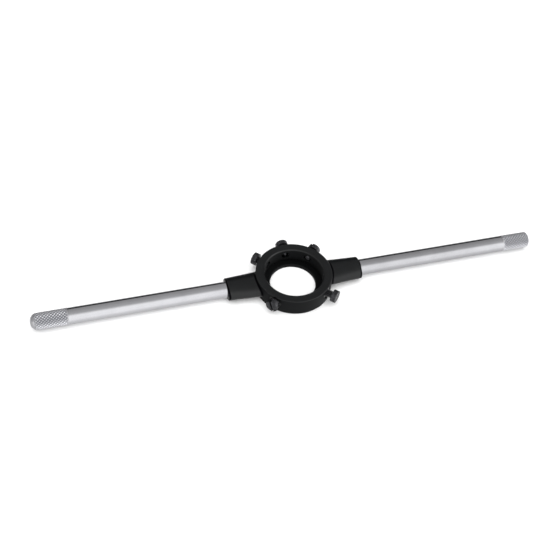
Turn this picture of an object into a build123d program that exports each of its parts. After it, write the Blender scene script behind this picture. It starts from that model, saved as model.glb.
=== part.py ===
from build123d import *
import os
from math import radians, tan

# Die stock for round threading dies. Z runs up through the die seat from the underside,
# X runs along the two bars, and the spreading screw points along Y.

# The round die that the seat takes
die_dia = 38.0
die_thickness = 10.0
die_proud = 0.5
seat_clearance = 0.075

# Ring of the head
ring_dia = 50.0
flange_thickness = 2.5
passage_dia = 30.0
rim_chamfer = 0.8
passage_chamfer = 0.5
ring_edge_round = 0.7

# Bosses that carry the bars, oval in section and wider at the ring
boss_reach = 45.0
boss_end_width = 16.2
boss_end_height = 11.6
boss_root_width = 19.8
boss_root_height = 10.2
boss_end_round = 0.6
boss_blend = 1.0

# Bars
overall_length = 336.0
bar_dia = 10.5
knurl_dia = 10.7
knurl_bevel = 0.3
spigot_dia = 8.0
spigot_length = 15.0
spigot_clearance = 0.05
spigot_bevel = 0.6
shoulder_bevel = 0.3
drill_run_out = 1.0
drill_point_angle = 118.0

# Which way each bar points along X, the length of its knurl, and the rounding of its end:
# one is flat, one domed
bars = {
    "handle_bar_right": dict(side=1, knurl_length=19.0, end_round=1.2),
    "handle_bar_left": dict(side=-1, knurl_length=23.0, end_round=4.6),
}

# Screws: shank and head, and how far a tip stands in the seat with its head home
screw_dia = 5.0
screw_clearance = 0.05
screw_reach = 2.0
head_dia = 8.2
head_height = 3.4
head_round = 0.4
slot_width = 1.2
slot_depth = 1.4
spotface_dia = 8.8
spotface_depth = 0.8

# Tips: the spreading screw is pointed, the others end in a short bevelled nose
point_flat = 0.6
nose_flat = 3.0

# Each screw's direction from the bar on +X, how far its tip stays behind the seat wall,
# how far its slot is turned from upright, and the flat at its tip
screws = {
    "spreading_screw": dict(angle=90, tip_back=0.1, slot_turn=80, tip_flat=point_flat),
    "adjusting_screw_right": dict(angle=45, tip_back=0.1, slot_turn=-30, tip_flat=nose_flat),
    "adjusting_screw_left": dict(angle=135, tip_back=0.6, slot_turn=50, tip_flat=nose_flat),
    "clamping_screw_left": dict(angle=225, tip_back=0.1, slot_turn=20, tip_flat=nose_flat),
    "clamping_screw_right": dict(angle=315, tip_back=2.4, slot_turn=-50, tip_flat=nose_flat),
}

# Heights and radii that follow from the sizes above
seat_radius = die_dia / 2 + seat_clearance
ring_radius = ring_dia / 2
passage_radius = passage_dia / 2
ring_height = flange_thickness + die_thickness - die_proud
bar_height = ring_height / 2
screw_height = flange_thickness + die_thickness / 2
spotface_radius = ring_radius - spotface_depth
screw_length = spotface_radius - seat_radius + screw_reach
wall_middle = (ring_radius + seat_radius) / 2
thread_radius = screw_dia / 2 + screw_clearance
bar_length = overall_length / 2 - boss_reach

# How near an edge must lie to a surface to count as on it
edge_margin = 0.01


def turned(points):
    """One solid of revolution about Z from a closed outline of radius and height."""
    return revolve(Plane.XZ * make_face(Polyline(*points, close=True)), Axis.Z)


def along_bar(side):
    """The plane across one bar at its boss's end face, with Z pointing out along the bar."""
    return Plane(origin=(side * boss_reach, 0, bar_height), x_dir=(0, 1, 0), z_dir=(side, 0, 0))


def along_screw(angle, radius):
    """The plane across a screw's axis, with X upright and Z pointing out from the ring."""
    out = Vector(1, 0, 0).rotate(Axis.Z, angle)
    origin = out * radius + Vector(0, 0, screw_height)
    return Plane(origin=origin, x_dir=(0, 0, 1), z_dir=out)


def ring():
    body = Cylinder(ring_radius, ring_height, align=(Align.CENTER, Align.CENTER, Align.MIN))
    return fillet(body.edges().filter_by(GeomType.CIRCLE), ring_edge_round)


def boss():
    """Tapered oval boss on +X, from the middle of the ring's wall to its end face."""
    end = along_bar(1)
    root = end.offset(wall_middle - boss_reach)
    body = loft(
        [
            root * Ellipse(boss_root_width / 2, boss_root_height / 2),
            end * Ellipse(boss_end_width / 2, boss_end_height / 2),
        ],
        ruled=True,
    )
    return fillet(body.edges().sort_by(Axis.X)[-1], boss_end_round)


def on_ring_wall(edge):
    """Whether an edge lies on the upright part of the ring's outer wall."""
    middle = edge @ 0.5
    low = ring_edge_round + edge_margin
    high = ring_height - ring_edge_round - edge_margin
    off_wall = abs(Vector(middle.X, middle.Y, 0).length - ring_radius)
    return off_wall < edge_margin and low < middle.Z < high


def head_blank():
    """Outside of the casting: a quarter of the ring and its blended boss, mirrored twice."""
    quarter = split(split(ring() + boss(), Plane.XZ), Plane.YZ)
    corner = quarter.edges().filter_by(on_ring_wall).sort_by(SortBy.LENGTH)[-1]
    quarter = fillet(corner, boss_blend)
    half = quarter + mirror(quarter, Plane.XZ)
    return half + mirror(half, Plane.YZ)


def seat_space():
    """What the die and the work fill: the seat, the passage and their bevelled top edges."""
    past = ring_edge_round + 1
    rim = seat_radius + rim_chamfer
    mouth = passage_radius + passage_chamfer
    return turned(
        [
            (0, -past),
            (passage_radius, -past),
            (passage_radius, flange_thickness - passage_chamfer),
            (mouth, flange_thickness),
            (seat_radius, flange_thickness),
            (seat_radius, ring_height - rim_chamfer),
            (rim, ring_height),
            (rim + past, ring_height + past),
            (0, ring_height + past),
        ]
    )


def drilling():
    """Blind hole for a bar's spigot with the drill's cone at its end, its mouth at Z = 0."""
    radius = spigot_dia / 2
    depth = spigot_length + drill_run_out
    cone = radius / tan(radians(drill_point_angle / 2))
    return turned([(0, 1), (radius, 1), (radius, -depth), (0, -depth - cone)])


def screw_cut():
    """Spotface for a head with the screw's hole through to the seat, face at Z = 0."""
    deep = spotface_radius - seat_radius + thread_radius
    past = spotface_depth + 1
    face = Cylinder(spotface_dia / 2, past, align=(Align.CENTER, Align.CENTER, Align.MIN))
    hole = Cylinder(thread_radius, deep, align=(Align.CENTER, Align.CENTER, Align.MAX))
    return face + hole


def head_casting():
    body = head_blank()
    body -= seat_space()
    for side in (1, -1):
        body -= along_bar(side) * drilling()
    for screw in screws.values():
        body -= along_screw(screw["angle"], spotface_radius) * screw_cut()
    return body


def handle_bar(knurl_length, end_round):
    """Bar with its spigot below Z = 0, its shoulder at Z = 0 and its knurled end on top."""
    spigot = spigot_dia / 2 - spigot_clearance
    plain = bar_dia / 2
    grip = knurl_dia / 2
    grip_start = bar_length - knurl_length
    body = turned(
        [
            (0, -spigot_length),
            (spigot - spigot_bevel, -spigot_length),
            (spigot, spigot_bevel - spigot_length),
            (spigot, 0),
            (plain - shoulder_bevel, 0),
            (plain, shoulder_bevel),
            (plain, grip_start),
            (grip, grip_start + knurl_bevel),
            (grip, bar_length),
            (0, bar_length),
        ]
    )
    return fillet(body.edges().filter_by(GeomType.CIRCLE).sort_by(Axis.Z)[-1], end_round)


def slotted_screw(tip_flat, slot_turn):
    """Cheese-head screw with its tip down, the underside of its head at Z = 0."""
    shank = screw_dia / 2
    tip = tip_flat / 2
    body = turned(
        [
            (0, -screw_length),
            (tip, -screw_length),
            (shank, shank - tip - screw_length),
            (shank, 0),
            (head_dia / 2, 0),
            (head_dia / 2, head_height),
            (0, head_height),
        ]
    )
    body = fillet(body.edges().filter_by(GeomType.CIRCLE).sort_by(Axis.Z)[-1], head_round)
    slot = Box(head_dia + 1, slot_width, 2 * slot_depth)
    return body - Pos(0, 0, head_height) * Rot(0, 0, slot_turn) * slot


def save(name, solid):
    solid.label = name
    export_step(solid, f"parts/{name}.step")


os.makedirs("parts", exist_ok=True)
save("head_casting", head_casting())
for name, bar in bars.items():
    solid = handle_bar(bar["knurl_length"], bar["end_round"])
    save(name, along_bar(bar["side"]) * solid)
for name, screw in screws.items():
    under_head = spotface_radius + screw_reach + screw["tip_back"]
    solid = slotted_screw(screw["tip_flat"], screw["slot_turn"])
    save(name, along_screw(screw["angle"], under_head) * solid)
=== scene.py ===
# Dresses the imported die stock: a painted head, plated bars with cut knurls, slotted screws

from math import asin, cos, pi, radians, sin, sqrt, tau

import bmesh
import bpy
from mathutils import Matrix, Vector


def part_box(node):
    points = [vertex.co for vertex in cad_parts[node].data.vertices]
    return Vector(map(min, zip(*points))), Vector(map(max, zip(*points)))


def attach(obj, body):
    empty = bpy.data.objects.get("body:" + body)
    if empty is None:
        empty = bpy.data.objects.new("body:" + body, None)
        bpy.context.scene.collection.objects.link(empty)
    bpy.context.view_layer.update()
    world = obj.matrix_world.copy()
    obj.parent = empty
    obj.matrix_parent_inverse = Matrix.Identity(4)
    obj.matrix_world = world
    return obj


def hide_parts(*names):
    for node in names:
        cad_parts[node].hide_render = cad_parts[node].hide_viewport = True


mm = 0.001
weld = 0.002 * mm  # points nearer than this are one
alongX = Vector((1, 0, 0))
alongZ = Vector((0, 0, 1))

# Noise: where the middle of its values lies, and how fine its detail is
noiseMiddle = (0.3, 0.7)
coarse, medium, fine = 2, 3, 5


def addNode(material, kind, **settings):
    node = material.node_tree.nodes.new(kind)
    for key, value in settings.items():
        setattr(node, key, value)
    return node


def feed(material, value, target):
    # A socket is linked, and a number or a colour is set
    if isinstance(value, bpy.types.NodeSocket):
        material.node_tree.links.new(value, target)
    else:
        target.default_value = value


def objectPoints(material, stretch=(1, 1, 1)):
    # Object coordinates, scaled on each axis
    points = addNode(material, "ShaderNodeTexCoord")
    mapping = addNode(material, "ShaderNodeMapping")
    feed(material, stretch, mapping.inputs["Scale"])
    feed(material, points.outputs["Object"], mapping.inputs["Vector"])
    return mapping.outputs["Vector"]


def noise(material, points, scale, detail=medium):
    node = addNode(material, "ShaderNodeTexNoise")
    feed(material, points, node.inputs["Vector"])
    feed(material, scale, node.inputs["Scale"])
    feed(material, detail, node.inputs["Detail"])
    return node.outputs["Fac"]


def pointValue(material, name):
    # What a mesh's points carry under that name
    return addNode(material, "ShaderNodeAttribute", attribute_name=name).outputs["Fac"]


def between(material, value, start, end, low=0, high=1):
    # Low where the value is at its start, high at its end, and even steps between
    node = addNode(material, "ShaderNodeMapRange")
    for name, given in (
        ("Value", value),
        ("From Min", start),
        ("From Max", end),
        ("To Min", low),
        ("To Max", high),
    ):
        feed(material, given, node.inputs[name])
    return node.outputs["Result"]


def tint(material, value, dark, light):
    # Two colours mixed by the middle of a noise
    node = addNode(material, "ShaderNodeValToRGB")
    ends = zip(node.color_ramp.elements, noiseMiddle, (dark, light))
    for element, position, colour in ends:
        element.position, element.color = position, (*colour, 1)
    feed(material, value, node.inputs["Fac"])
    return node.outputs["Color"]


def bump(material, height, depth, under=None):
    node = addNode(material, "ShaderNodeBump")
    feed(material, depth, node.inputs["Distance"])
    feed(material, height, node.inputs["Height"])
    if under:
        feed(material, under, node.inputs["Normal"])
    return node.outputs["Normal"]


def mixed(material, share, first, second, kind):
    # A share of the second over the first, as colours or as plain numbers
    node = addNode(material, "ShaderNodeMix", data_type=kind)
    a, b = [socket for socket in node.inputs if socket.enabled and socket.name in ("A", "B")]
    feed(material, share, node.inputs["Factor"])
    feed(material, first, a)
    feed(material, second, b)
    return next(socket for socket in node.outputs if socket.enabled)


def levels(material, value, points):
    # Level against a value, by straight lines between points
    low, high = points[0][0], points[-1][0]
    ramp = addNode(material, "ShaderNodeValToRGB")
    feed(material, between(material, value, low, high), ramp.inputs["Fac"])
    elements = ramp.color_ramp.elements
    while len(elements) < len(points):
        elements.new(0.5)  # it gets its place below
    for element, (place, level) in zip(elements, points):
        element.position = (place - low) / (high - low)
        element.color = (level, level, level, 1)
    return ramp.outputs["Color"]


def newFinish(name, metallic=0):
    material = bpy.data.materials.new(name)
    material.use_nodes = True
    socket = material.node_tree.nodes["Principled BSDF"].inputs
    feed(material, metallic, socket["Metallic"])
    return material, socket


# Satin black paint over a fine cast skin. The seat and the ring's outer wall are machined and
# blackened, and in the seat that dark colour is painted shade. Scales of patterns are per metre.
paint = {
    "dark": (0.0006, 0.0009, 0.0012),
    "light": (0.0014, 0.0020, 0.0025),
    "blotches": 140,
    "skin": 700,
    "grain": 3500,
    "skinDepth": 0.010 * mm,
    "grainDepth": 0.004 * mm,
    "roughness": (0.30, 0.40),
    "specular": 0.56,
    # How machined the head is, against the distance from its axis; in the seat it also paints shade
    "machinedAndSeatShade": [
        (18.5 * mm, 1),
        (19.2 * mm, 1),
        (19.5 * mm, 0),
        (24.8 * mm, 0),
        (24.95 * mm, 1),
        (25.1 * mm, 1),
        (25.5 * mm, 0),
    ],
    # Dark machined colour, which in the seat is painted shade
    "machinedAndSeatShadeColour": (0.026, 0.027, 0.028),
    "machinedRoughness": 0.7,
    # Painted shade against that distance: no reflection at the roots and the ends of the bosses
    "paintedShade": [
        (25 * mm, 0),
        (25.25 * mm, 1),
        (26 * mm, 1),
        (26.4 * mm, 0),
        (44.2 * mm, 0),
        (44.6 * mm, 1),
    ],
    # The near-black of that painted shade
    "paintedShadeColour": (0.003, 0.003, 0.004),
}


def paintedCasting():
    material, socket = newFinish("blackPaint")
    feed(material, paint["specular"], socket["Specular IOR Level"])
    points = objectPoints(material)
    blotches = noise(material, points, paint["blotches"], fine)
    skin = noise(material, points, paint["skin"])
    grain = noise(material, points, paint["grain"], coarse)
    fromAxis = addNode(material, "ShaderNodeVectorMath", operation="LENGTH")
    feed(material, objectPoints(material, (1, 1, 0)), fromAxis.inputs[0])
    # The seat's dark colour is painted shade; the outer wall's is its machined finish
    machinedAndSeatShade = levels(material, fromAxis.outputs["Value"], paint["machinedAndSeatShade"])
    # Painted shade at the roots and the ends of the bosses
    paintedShade = levels(material, fromAxis.outputs["Value"], paint["paintedShade"])
    coat = tint(material, blotches, paint["dark"], paint["light"])
    cutAndSeatShade = mixed(material, machinedAndSeatShade, coat, (*paint["machinedAndSeatShadeColour"], 1), "RGBA")
    colour = mixed(material, paintedShade, cutAndSeatShade, (*paint["paintedShadeColour"], 1), "RGBA")
    satin = between(material, skin, *noiseMiddle, *paint["roughness"])
    roughness = mixed(material, machinedAndSeatShade, satin, paint["machinedRoughness"], "FLOAT")
    relief = bump(material, skin, paint["skinDepth"])
    feed(material, colour, socket["Base Color"])
    feed(material, roughness, socket["Roughness"])
    feed(material, mixed(material, paintedShade, machinedAndSeatShade, 1, "FLOAT"), socket["Metallic"])
    feed(material, bump(material, grain, paint["grainDepth"], relief), socket["Normal"])
    return material


# Bright plating over bars ground along their length
plating = {
    "dark": (0.70, 0.70, 0.73),
    "light": (0.76, 0.76, 0.79),
    "clouds": 90,
    "streaks": 900,
    "streakStretch": (0.02, 1, 1),
    "streakDepth": 0.0015 * mm,
    "roughness": (0.13, 0.2),
    # Knurled metal is duller, and its grooves are darkened with painted shade. Its points carry
    # their depth, from the crest level to 1, and the points of turned metal carry 0.
    "depthName": "grooveDepth",
    "crestLevel": 0.2,
    "knurlRoughness": 0.33,
    # Colour of the painted shade in the grooves, and the depths over which it comes in
    "paintedGrooveShade": (0.24, 0.25, 0.28),
    "grooveShadeFade": (0.6, 1),
}


def brightPlating():
    material, socket = newFinish("brightPlating", metallic=1)
    clouds = noise(material, objectPoints(material), plating["clouds"], fine)
    along = objectPoints(material, plating["streakStretch"])
    streaks = noise(material, along, plating["streaks"])
    depth = pointValue(material, plating["depthName"])
    # Painted shade, deepest at the roots of the grooves
    grooveShadeMask = between(material, depth, *plating["grooveShadeFade"])
    knurled = between(material, depth, 0, plating["crestLevel"])
    bright = tint(material, clouds, plating["dark"], plating["light"])
    colour = mixed(material, grooveShadeMask, bright, (*plating["paintedGrooveShade"], 1), "RGBA")
    ground = between(material, streaks, *noiseMiddle, *plating["roughness"])
    roughness = mixed(material, knurled, ground, plating["knurlRoughness"], "FLOAT")
    feed(material, colour, socket["Base Color"])
    feed(material, roughness, socket["Roughness"])
    feed(material, bump(material, streaks, plating["streakDepth"]), socket["Normal"])
    return material


# Oiled black oxide on the screws
oxide = {
    "metallic": 0.85,
    "dark": (0.034, 0.034, 0.037),
    "light": (0.080, 0.080, 0.086),
    "blotches": 700,
    "grain": 4000,
    "grainDepth": 0.003 * mm,
    "roughness": (0.20, 0.32),
    # The slots' floors get painted shade: the points on a slot's floor carry 1, and all others 0
    "depthName": "slotDepth",
    "slot": (0.006, 0.006, 0.007),
}


def blackOxide():
    material, socket = newFinish("blackOxide", oxide["metallic"])
    points = objectPoints(material)
    blotches = noise(material, points, oxide["blotches"], fine)
    grain = noise(material, points, oxide["grain"], coarse)
    depth = pointValue(material, oxide["depthName"])
    oxideTone = tint(material, blotches, oxide["dark"], oxide["light"])
    # Painted shade on the slots' floors
    colour = mixed(material, depth, oxideTone, (*oxide["slot"], 1), "RGBA")
    roughness = between(material, blotches, *noiseMiddle, *oxide["roughness"])
    feed(material, colour, socket["Base Color"])
    feed(material, roughness, socket["Roughness"])
    feed(material, bump(material, grain, oxide["grainDepth"]), socket["Normal"])
    return material


def chain(bm, points):
    # Open chain of edges in the XZ plane
    verts = [bm.verts.new((x, 0, z)) for x, z in points]
    return verts + [bm.edges.new(pair) for pair in zip(verts, verts[1:])]


def cutAcross(bm, point, away, clear=True, near=weld):
    # Cuts the mesh across at a point, and clears the side that points away
    bmesh.ops.bisect_plane(
        bm,
        geom=bm.verts[:] + bm.edges[:] + bm.faces[:],
        dist=near,
        plane_co=point,
        plane_no=away,
        clear_outer=clear,
    )


def onlyVerts(geometry):
    return [item for item in geometry if isinstance(item, bmesh.types.BMVert)]


def addMesh(bm, other):
    # The other mesh joins this one
    mesh = bpy.data.meshes.new("joined")
    other.to_mesh(mesh)
    other.free()
    bm.from_mesh(mesh)
    bpy.data.meshes.remove(mesh)


def openLoop(bm, reach, axis):
    # Border edges whose ends both lie at that reach along the axis
    def there(vert):
        return abs(vert.co.dot(axis) - reach) < weld

    border = [edge for edge in bm.edges if edge.is_boundary]
    return [edge for edge in border if all(there(vert) for vert in edge.verts)]


def finishPiece(bm, name, material, place, smoothAngle=radians(35)):
    bmesh.ops.transform(bm, matrix=place, verts=bm.verts)
    bmesh.ops.recalc_face_normals(bm, faces=bm.faces)
    mesh = bpy.data.meshes.new(name)
    bm.to_mesh(mesh)
    bm.free()
    mesh.shade_smooth()
    mesh.set_sharp_from_angle(angle=smoothAngle)
    mesh.materials.append(material)
    piece = bpy.data.objects.new(name, mesh)
    bpy.context.collection.objects.link(piece)
    return piece


# Bars, turned about X with the shoulder at X = 0. The spigot is the thin end in the boss.
bar = {
    "radius": 5.25 * mm,
    "spigotRadius": 3.95 * mm,
    "spigotLength": 15 * mm,
    "spigotBevel": 0.6 * mm,
    "shoulderBevel": 0.3 * mm,
    "roundSegments": 12,
    "steps": 144,  # round the whole turn
}
knurl = {
    "crest": 5.35 * mm,
    "root": 4.87 * mm,
    "around": 16,  # diamonds round the bar
    "pitch": 2 * mm,  # about a diamond's length
    "flank": 0.55 * mm,
    "endFlank": 0.25 * mm,  # on the half diamonds at both ends
    "edgeCuts": 5,
    "join": 0.05 * mm,  # bridged to the turned metal
}
# Where each bar points, how far its knurl reaches back from its tip, how round its end is, and
# how far it is turned about itself, in degrees
bars = {
    "handle_bar_right": dict(side=1, knurlReach=19 * mm, endRound=1.2 * mm, turn=0),
    "handle_bar_left": dict(side=-1, knurlReach=23 * mm, endRound=4.6 * mm, turn=7),
}


def turnOutline(bm, points):
    bmesh.ops.spin(
        bm,
        geom=chain(bm, points),
        cent=(0, 0, 0),
        axis=alongX,
        angle=tau,
        steps=bar["steps"],
        use_merge=True,
    )


def cutKnurl(bm, start, end, surface):
    # A flat sheet of diamonds is cut to length, each raised to a blunt pyramid, and rolled round X.
    # Its first edge stays at the plain bar's surface, so the grooves run out into it.
    length = end - start
    rows = round(length / knurl["pitch"])
    pitch = length / rows
    wide = tau * knurl["root"] / knurl["around"]
    cells = 2 * (knurl["around"] + rows)  # more than enough for the cuts
    sheet = bmesh.new()
    bmesh.ops.create_grid(sheet, x_segments=cells, y_segments=cells, size=cells / 2)
    bmesh.ops.rotate(sheet, verts=sheet.verts, matrix=Matrix.Rotation(radians(45), 3, "Z"))
    bmesh.ops.scale(sheet, verts=sheet.verts, vec=(pitch / sqrt(2), wide / sqrt(2), 1))
    cutAcross(sheet, (0, 0, 0), -alongX)
    cutAcross(sheet, (length, 0, 0), alongX)
    low = -wide / 4
    high = low + wide * knurl["around"]
    spare = [face for face in sheet.faces if not low < face.calc_center_median().y < high]
    bmesh.ops.delete(sheet, geom=spare, context="FACES")
    whole = [face for face in sheet.faces if len(face.verts) == 4]
    halves = [face for face in sheet.faces if len(face.verts) == 3]
    height = knurl["crest"] - knurl["root"]
    runOut = bar["radius"] - knurl["root"]
    for faces, flank, top in (
        (whole, knurl["flank"], height),
        (halves, knurl["endFlank"], runOut),
    ):
        bmesh.ops.inset_individual(
            sheet, faces=faces, thickness=flank, depth=top, use_even_offset=True
        )
    firstEdge = openLoop(sheet, 0, alongX)
    bmesh.ops.subdivide_edges(sheet, edges=firstEdge, cuts=knurl["edgeCuts"])
    depth = sheet.verts.layers.float.new(plating["depthName"])
    for vert in sheet.verts:
        if abs(vert.co.x) < weld:
            vert.co.z = runOut
        rise = vert.co.z / height
        vert[depth] = 1 - rise * (1 - plating["crestLevel"])
        turn = vert.co.y / knurl["root"]
        along = start + vert.co.x
        radius = min(knurl["root"] + vert.co.z, surface(along))
        vert.co = (along, radius * sin(turn), radius * cos(turn))
    bmesh.ops.remove_doubles(sheet, verts=sheet.verts, dist=weld)
    addMesh(bm, sheet)


def makeBar(name, place, material):
    low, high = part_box(name)
    side, endRound = place["side"], place["endRound"]
    tip = max(abs(low.x), abs(high.x))
    shoulder = min(abs(low.x), abs(high.x)) + bar["spigotLength"]
    length = tip - shoulder
    crest, root = knurl["crest"], knurl["root"]
    arcStart = length - endRound

    def surface(along):
        # Radius of the turned end before it is knurled
        past = max(0, along - arcStart)
        return crest - endRound + sqrt(max(0, endRound**2 - past**2))

    knurlStart = length - place["knurlReach"]
    knurlEnd = arcStart + sqrt(endRound**2 - (endRound - crest + root) ** 2)
    plainEnd = knurlStart - knurl["join"]
    capStart = knurlEnd + knurl["join"]
    shoulderLine = [
        (-bar["spigotLength"], 0),
        (-bar["spigotLength"], bar["spigotRadius"] - bar["spigotBevel"]),
        (bar["spigotBevel"] - bar["spigotLength"], bar["spigotRadius"]),
        (0, bar["spigotRadius"]),
        (0, bar["radius"] - bar["shoulderBevel"]),
        (bar["shoulderBevel"], bar["radius"]),
        (plainEnd, bar["radius"]),
    ]
    capLine = []
    firstAngle = asin((capStart - arcStart) / endRound)
    for step in range(bar["roundSegments"] + 1):
        angle = firstAngle + (pi / 2 - firstAngle) * step / bar["roundSegments"]
        radius = crest - endRound + endRound * cos(angle)
        capLine.append((arcStart + endRound * sin(angle), radius))
    capLine.append((length, 0))
    bm = bmesh.new()
    bm.verts.layers.float.new(plating["depthName"])
    turnOutline(bm, shoulderLine)
    turnOutline(bm, capLine)
    bmesh.ops.remove_doubles(bm, verts=bm.verts, dist=weld)
    cutKnurl(bm, knurlStart, knurlEnd, surface)
    for near, far in ((plainEnd, knurlStart), (knurlEnd, capStart)):
        edges = openLoop(bm, near, alongX) + openLoop(bm, far, alongX)
        bmesh.ops.bridge_loops(bm, edges=edges)
    middle = Matrix.Translation((side * shoulder, 0, (low.z + high.z) / 2))
    facing = Matrix.Rotation(0 if side > 0 else pi, 4, "Z")
    turned = Matrix.Rotation(radians(place["turn"]), 4, "X")
    piece = finishPiece(bm, "plated_" + name, material, middle @ facing @ turned)
    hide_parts(name)
    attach(piece, "stock")


# Slotted screws, made upright with the underside of the head at Z = 0
screw = {
    "length": 7.125 * mm,
    "radius": 2.5 * mm,
    "root": 2.12 * mm,
    "pitch": 0.8 * mm,
    "crestSpan": (0.38, 0.5),  # where its crest begins and ends, in pitches
    "rootStart": 0.88,
    "threadSteps": 36,  # a turn
    "spareTurns": 4,  # past both ends, before the thread is cut to length
    "threadCut": 0.0002 * mm,  # a cut passes through points nearer than this
    "headRadius": 4.1 * mm,
    "headHeight": 3.4 * mm,
    "headRound": 0.4 * mm,
    "roundSegments": 5,
    "slotWidth": 1.2 * mm,
    "slotDepth": 1.4 * mm,
    "headSegments": 72,
    "height": 7.5 * mm,  # of its axis over the floor
}
slotFloor = screw["headHeight"] - screw["slotDepth"]
# Each screw's direction from the right bar and its slot's turn, in degrees, how far the
# underside of its head is from the ring's axis, and the radius of its tip
screws = {
    "spreading_screw": dict(angle=90, underHead=26.3 * mm, slotTurn=80, tip=0.3 * mm),
    "adjusting_screw_right": dict(angle=45, underHead=26.3 * mm, slotTurn=-30, tip=1.5 * mm),
    "adjusting_screw_left": dict(angle=135, underHead=26.8 * mm, slotTurn=50, tip=1.5 * mm),
    "clamping_screw_left": dict(angle=225, underHead=26.3 * mm, slotTurn=20, tip=1.5 * mm),
    "clamping_screw_right": dict(angle=315, underHead=28.6 * mm, slotTurn=-50, tip=1.5 * mm),
}


def screwHead(bm):
    # A disc at the slot's floor is split into two lands and a strip. Its rim is let down to the
    # head's underside, and the lands are raised.
    halfSlot = screw["slotWidth"] / 2
    bmesh.ops.create_circle(
        bm,
        cap_ends=True,
        segments=screw["headSegments"],
        radius=screw["headRadius"],
        matrix=Matrix.Translation((0, 0, slotFloor)),
    )
    for side in (1, -1):
        cutAcross(bm, (0, side * halfSlot, 0), (0, side, 0), clear=False)
    rim = [edge for edge in bm.edges if edge.is_boundary]
    lands = [face for face in bm.faces if abs(face.calc_center_median().y) > halfSlot]
    skirt = bmesh.ops.extrude_edge_only(bm, edges=rim)["geom"]
    bmesh.ops.translate(bm, verts=onlyVerts(skirt), vec=(0, 0, -slotFloor))
    raised = bmesh.ops.extrude_face_region(bm, geom=lands)["geom"]
    bmesh.ops.translate(bm, verts=onlyVerts(raised), vec=(0, 0, screw["slotDepth"]))
    bmesh.ops.delete(bm, geom=[face for face in lands if face.is_valid], context="FACES")


def roundHead(bm):
    # Only the rims of the two lands are rounded
    top = screw["headHeight"]

    def outer(edge):
        far = all(vert.co.xy.length > screw["headRadius"] - weld for vert in edge.verts)
        return far and all(abs(vert.co.z - top) < weld for vert in edge.verts)

    bmesh.ops.bevel(
        bm,
        geom=[edge for edge in bm.edges if outer(edge)],
        offset=screw["headRound"],
        segments=screw["roundSegments"],
        profile=0.5,
        affect="EDGES",
        material=-1,
    )


def threadedShank(bm, tip):
    # The outline of one pitch is wound up past both ends, cut off there, and drawn in to the tip
    root, crest, pitch = screw["root"], screw["radius"], screw["pitch"]
    crestStart, crestEnd = screw["crestSpan"]
    low = -screw["length"] + crest - tip
    turns = int(screw["length"] / pitch) + screw["spareTurns"]
    start = -screw["length"] - pitch
    outline = [
        (root, 0),
        (crest, crestStart),
        (crest, crestEnd),
        (root, screw["rootStart"]),
        (root, 1),
    ]
    thread = bmesh.new()
    bmesh.ops.spin(
        thread,
        geom=chain(thread, [(radius, start + rise * pitch) for radius, rise in outline]),
        cent=(0, 0, 0),
        axis=alongZ,
        dvec=(0, 0, pitch / screw["threadSteps"]),
        angle=tau * turns,
        steps=screw["threadSteps"] * turns,
    )
    bmesh.ops.remove_doubles(thread, verts=thread.verts, dist=weld)
    cutAcross(thread, (0, 0, low), -alongZ, near=screw["threadCut"])
    cutAcross(thread, (0, 0, -weld), alongZ, near=screw["threadCut"])
    nose = bmesh.ops.extrude_edge_only(thread, edges=openLoop(thread, low, alongZ))["geom"]
    for vert in onlyVerts(nose):
        flat = vert.co.xy.normalized() * tip
        vert.co = (flat.x, flat.y, -screw["length"])
    bmesh.ops.edgeloop_fill(thread, edges=openLoop(thread, -screw["length"], alongZ))
    addMesh(bm, thread)


def markSlot(bm):
    # The slot's floor carries 1, which is what darkens it with painted shade
    depth = bm.verts.layers.float.new(oxide["depthName"])
    for vert in bm.verts:
        inSlot = abs(vert.co.y) < screw["slotWidth"] / 2 + weld
        vert[depth] = float(inSlot and abs(vert.co.z - slotFloor) < weld)


def makeScrew(name, place, material):
    bm = bmesh.new()
    screwHead(bm)
    roundHead(bm)
    markSlot(bm)
    threadedShank(bm, place["tip"])
    underHead = [edge for edge in bm.edges if edge.is_boundary]
    bmesh.ops.triangle_fill(bm, edges=underHead, use_beauty=True)
    turn = radians(place["angle"])
    out = Vector((cos(turn), sin(turn), 0))
    centre = Matrix.Translation(out * place["underHead"] + alongZ * screw["height"])
    facing = Matrix((alongZ, out.cross(alongZ), out)).transposed().to_4x4()
    slotTurn = Matrix.Rotation(radians(place["slotTurn"]), 4, "Z")
    piece = finishPiece(bm, "slotted_" + name, material, centre @ facing @ slotTurn)
    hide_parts(name)
    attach(piece, name)


# The pale floor, which sweeps up into a backdrop all round
floor = {
    "flat": 8,
    "edgeRing": 0.4,
    "bend": 4,
    "bendSteps": 16,
    "top": 8,
    "dark": (0.83, 0.83, 0.83),
    "light": (0.87, 0.87, 0.87),
    "clouds": 2,
    "roughness": 0.9,
}


def makeFloor():
    # Turned about X and stood up. Only the flat part's narrow last ring is shaded into the bend.
    flat, bend, steps = floor["flat"], floor["bend"], floor["bendSteps"]
    outline = [(0, 0), (0, flat - floor["edgeRing"])]
    for step in range(steps + 1):
        angle = pi / 2 * step / steps
        outline.append((bend * (1 - cos(angle)), flat + bend * sin(angle)))
    outline.append((floor["top"], flat + bend))
    bm = bmesh.new()
    turnOutline(bm, outline)
    bmesh.ops.remove_doubles(bm, verts=bm.verts, dist=weld)
    material, socket = newFinish("paleFloor")
    clouds = noise(material, objectPoints(material), floor["clouds"])
    feed(material, tint(material, clouds, floor["dark"], floor["light"]), socket["Base Color"])
    feed(material, floor["roughness"], socket["Roughness"])
    sheet = finishPiece(bm, "floor", material, Matrix.Rotation(-pi / 2, 4, "Y"))
    sheet.data.flip_normals()
    sheet.visible_glossy = False


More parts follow.
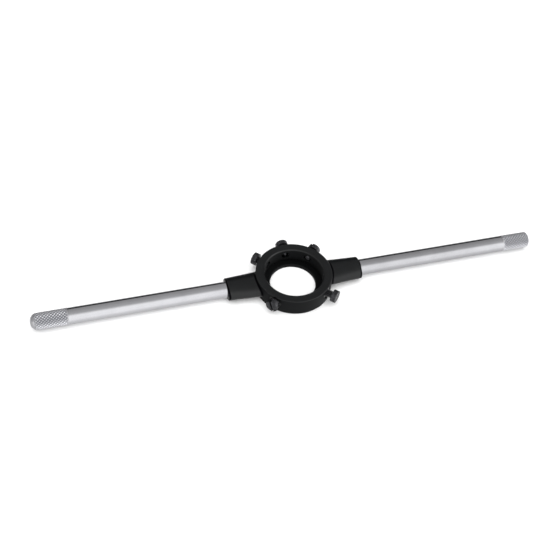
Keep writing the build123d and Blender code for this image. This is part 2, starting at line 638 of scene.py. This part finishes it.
# The soft room, which the bars reflect
room = {
    # Brightness against the angle from overhead, in degrees, with forwards as positive
    "arc": [
        (-180, 0.6),
        (-106, 0.55),
        (-93, 0.03),
        (-66, 0.03),
        (-57, 0.34),
        (-37, 0.345),
        (-20, 0.37),
        (-5, 0.42),
        (10, 0.44),
        (25, 0.58),
        (39, 0.99),
        (53, 1.1),
        (97, 1.07),
        (115, 0.9),
        (135, 0.75),
        (158, 0.67),
        (180, 0.6),
    ],
    # How much of that the right side has, against the sideways part of the direction
    "right": [(-1, 1), (0.1, 1), (0.3, 0.86), (0.46, 0.86), (0.7, 1.9), (1, 1.9)],
    # The left side fades to an even level and a share of that
    "leftFade": (-0.2, -0.5),
    "leftLevel": 0.25,
    "leftShare": 0.5,
}


def fromOrigin(azimuth, elevation):
    # The direction at that azimuth from the front and elevation, both in degrees
    turn, rise = radians(azimuth), radians(elevation)
    return Vector((sin(turn) * cos(rise), -cos(turn) * cos(rise), sin(rise)))


def maths(world, operation, *values):
    node = addNode(world, "ShaderNodeMath", operation=operation)
    for socket, value in zip(node.inputs, values):
        feed(world, value, socket)
    return node.outputs["Value"]


def lightRoom():
    world = bpy.data.worlds.new("softRoom")
    bpy.context.scene.world = world
    world.use_nodes = True
    direction = addNode(world, "ShaderNodeTexCoord").outputs["Generated"]
    parts = addNode(world, "ShaderNodeSeparateXYZ")
    feed(world, direction, parts.inputs["Vector"])
    sideways, backwards, upwards = parts.outputs
    turn = maths(world, "ARCTAN2", maths(world, "MULTIPLY", backwards, -1), upwards)
    arc = levels(world, maths(world, "DEGREES", turn), room["arc"])
    right = maths(world, "MULTIPLY", arc, levels(world, sideways, room["right"]))
    left = maths(world, "MULTIPLY_ADD", arc, room["leftShare"], room["leftLevel"])
    strength = between(world, sideways, *room["leftFade"], right, left)
    background = world.node_tree.nodes["Background"].inputs
    feed(world, (1, 1, 1, 1), background["Color"])
    feed(world, strength, background["Strength"])


# The softbox, which lights the floor from over the camera and isn't seen in the bars
softbox = {"distance": 7.2, "size": 13.5, "power": 1050, "azimuth": -22, "elevation": 74}


def hangSoftbox():
    light = bpy.data.lights.new("softbox", "AREA")
    light.shape = "DISK"
    light.size = softbox["size"]
    light.energy = softbox["power"]
    lamp = bpy.data.objects.new("softbox", light)
    away = fromOrigin(softbox["azimuth"], softbox["elevation"])
    facing = (-away).to_track_quat("-Z", "Y").to_matrix().to_4x4()
    lamp.matrix_world = Matrix.Translation(away * softbox["distance"]) @ facing
    lamp.visible_glossy = False
    bpy.context.collection.objects.link(lamp)


# The camera fitted to the photograph, looking at the ring's axis in the plane of its underside
shot = {
    "azimuth": -22.36,
    "elevation": 49.44,
    "roll": 7.72,
    "distance": 0.661,
    "lens": 64.9,
    "originPixel": (292.6, 284.2),
    "imageSize": 560,
    "clipStart": 0.05,
}


def makeCamera():
    back = fromOrigin(shot["azimuth"], shot["elevation"])
    lens = bpy.data.cameras.new("camera")
    camera = bpy.data.objects.new("camera", lens)
    bpy.context.collection.objects.link(camera)
    lens.lens = shot["lens"]
    right, down = shot["originPixel"]
    lens.shift_x = 0.5 - right / shot["imageSize"]
    lens.shift_y = down / shot["imageSize"] - 0.5
    lens.clip_start = shot["clipStart"]
    roll = Matrix.Rotation(radians(shot["roll"]), 4, "Z")
    aim = (-back).to_track_quat("-Z", "Y").to_matrix().to_4x4()
    camera.matrix_world = Matrix.Translation(back * shot["distance"]) @ aim @ roll
    bpy.context.scene.camera = camera


print("Loading the frame")
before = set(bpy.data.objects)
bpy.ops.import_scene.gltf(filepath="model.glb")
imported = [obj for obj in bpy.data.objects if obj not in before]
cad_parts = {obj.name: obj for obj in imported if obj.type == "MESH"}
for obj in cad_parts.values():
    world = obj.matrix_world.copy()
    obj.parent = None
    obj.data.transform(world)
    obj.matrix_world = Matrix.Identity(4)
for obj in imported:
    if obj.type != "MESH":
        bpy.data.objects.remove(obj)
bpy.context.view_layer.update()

print("Painting the head")
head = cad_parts["head_casting"]
head.data.materials.clear()
head.data.materials.append(paintedCasting())

print("Turning and knurling the bars")
platingFinish = brightPlating()
for barName, barPlace in bars.items():
    makeBar(barName, barPlace, platingFinish)

print("Making the screws")
oxideFinish = blackOxide()
for screwName, screwPlace in screws.items():
    makeScrew(screwName, screwPlace, oxideFinish)

print("Setting the stage")
makeFloor()
lightRoom()
hangSoftbox()
makeCamera()
bpy.context.scene.view_settings.view_transform = "Standard"
